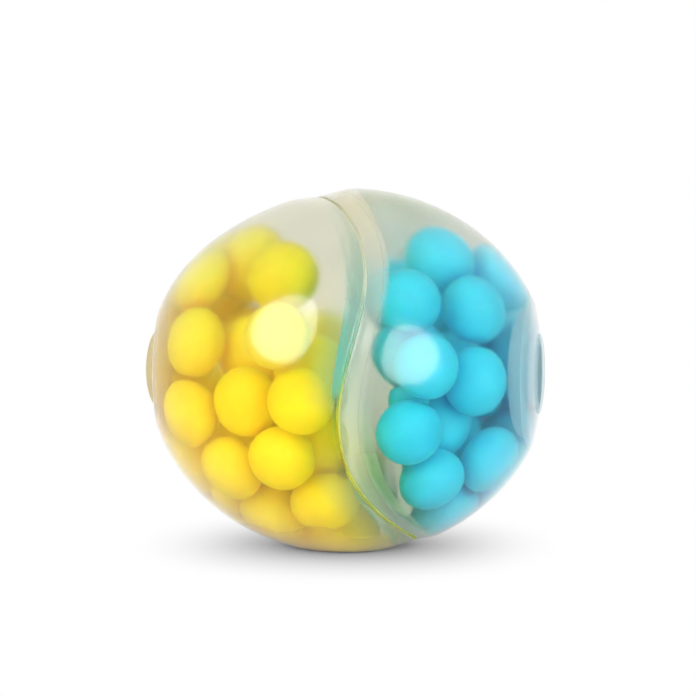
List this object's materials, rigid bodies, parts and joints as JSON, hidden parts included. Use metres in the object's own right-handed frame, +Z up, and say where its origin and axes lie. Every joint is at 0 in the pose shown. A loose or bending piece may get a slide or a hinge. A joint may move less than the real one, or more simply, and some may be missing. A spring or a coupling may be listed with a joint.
{
  "type": "two-chamber bead squeeze ball",
  "caption": "Soft clear squeeze ball of two liquid-filled bladders bonded on a curved seam, with loose yellow beads in one chamber, blue beads in the other and a plug at each end.",
  "frame": {"origin": "on the surface the ball rests on, under the middle of the ball", "axes": "+X along the ball from the yellow plug to the blue plug, +Z up, -Y towards the front with the S-shaped line of the seam"},
  "size_m": [0.07, 0.0634, 0.0625],
  "materials": {
    "yellow_skin": "clear, slightly milky soft rubber with a glossy surface",
    "blue_skin": "clear, slightly milky soft rubber with a glossy surface",
    "bond": "thin clear bond that has taken on a faint yellow",
    "plug": "milky soft rubber, smooth",
    "yellow_bead": "soft bead of one bright yellow, satin",
    "blue_bead": "soft bead of one bright sky blue, satin"
  },
  "bodies": {
    "ball": {"yellow_bladder": "yellow_skin", "blue_bladder": "blue_skin", "bond_film": "bond"},
    "yellow_stopper": {"yellow_plug": "plug"},
    "blue_stopper": {"blue_plug": "plug"},
    "yellow_heap": {"yellow_bead_01": "yellow_bead", "yellow_bead_02": "yellow_bead", "yellow_bead_03": "yellow_bead", "yellow_bead_04": "yellow_bead", "yellow_bead_05": "yellow_bead", "yellow_bead_06": "yellow_bead", "yellow_bead_07": "yellow_bead", "yellow_bead_08": "yellow_bead", "yellow_bead_09": "yellow_bead", "yellow_bead_10": "yellow_bead", "yellow_bead_11": "yellow_bead", "yellow_bead_12": "yellow_bead", "yellow_bead_13": "yellow_bead", "yellow_bead_14": "yellow_bead", "yellow_bead_15": "yellow_bead", "yellow_bead_16": "yellow_bead", "yellow_bead_17": "yellow_bead", "yellow_bead_18": "yellow_bead", "yellow_bead_19": "yellow_bead", "yellow_bead_20": "yellow_bead", "yellow_bead_21": "yellow_bead", "yellow_bead_22": "yellow_bead", "yellow_bead_23": "yellow_bead", "yellow_bead_24": "yellow_bead", "yellow_bead_25": "yellow_bead", "yellow_bead_26": "yellow_bead", "yellow_bead_27": "yellow_bead", "yellow_bead_28": "yellow_bead", "yellow_bead_29": "yellow_bead", "yellow_bead_30": "yellow_bead", "yellow_bead_31": "yellow_bead", "yellow_bead_32": "yellow_bead", "yellow_bead_33": "yellow_bead"},
    "blue_heap": {"blue_bead_01": "blue_bead", "blue_bead_02": "blue_bead", "blue_bead_03": "blue_bead", "blue_bead_04": "blue_bead", "blue_bead_05": "blue_bead", "blue_bead_06": "blue_bead", "blue_bead_07": "blue_bead", "blue_bead_08": "blue_bead", "blue_bead_09": "blue_bead", "blue_bead_10": "blue_bead", "blue_bead_11": "blue_bead", "blue_bead_12": "blue_bead", "blue_bead_13": "blue_bead", "blue_bead_14": "blue_bead", "blue_bead_15": "blue_bead", "blue_bead_16": "blue_bead", "blue_bead_17": "blue_bead", "blue_bead_18": "blue_bead", "blue_bead_19": "blue_bead", "blue_bead_20": "blue_bead", "blue_bead_21": "blue_bead", "blue_bead_22": "blue_bead"}
  },
  "joints": [
    {"name": "yellow_squeeze", "type": "slide", "parent": "ball", "child": "yellow_stopper", "axis": [1, 0, 0], "range_m": [0, 0.006], "stiffness_N_per_m": 600, "deforming": ["yellow_bladder", "blue_bladder", "bond_film"]},
    {"name": "blue_squeeze", "type": "slide", "parent": "ball", "child": "blue_stopper", "axis": [-1, 0, 0], "range_m": [0, 0.006], "stiffness_N_per_m": 600, "deforming": ["yellow_bladder", "blue_bladder", "bond_film"]},
    {"name": "yellow_heap_roll", "type": "hinge", "parent": "ball", "child": "yellow_heap", "pos_m": [0, 0, 0.0307], "axis": [1, 0, 0], "range_deg": [-15, 15]},
    {"name": "blue_heap_roll", "type": "hinge", "parent": "ball", "child": "blue_heap", "pos_m": [0, 0, 0.0307], "axis": [1, 0, 0], "range_deg": [-15, 15]}
  ],
  "couplings": [
    {"joint": "blue_squeeze", "follows": "yellow_squeeze", "ratio": 1}
  ]
}
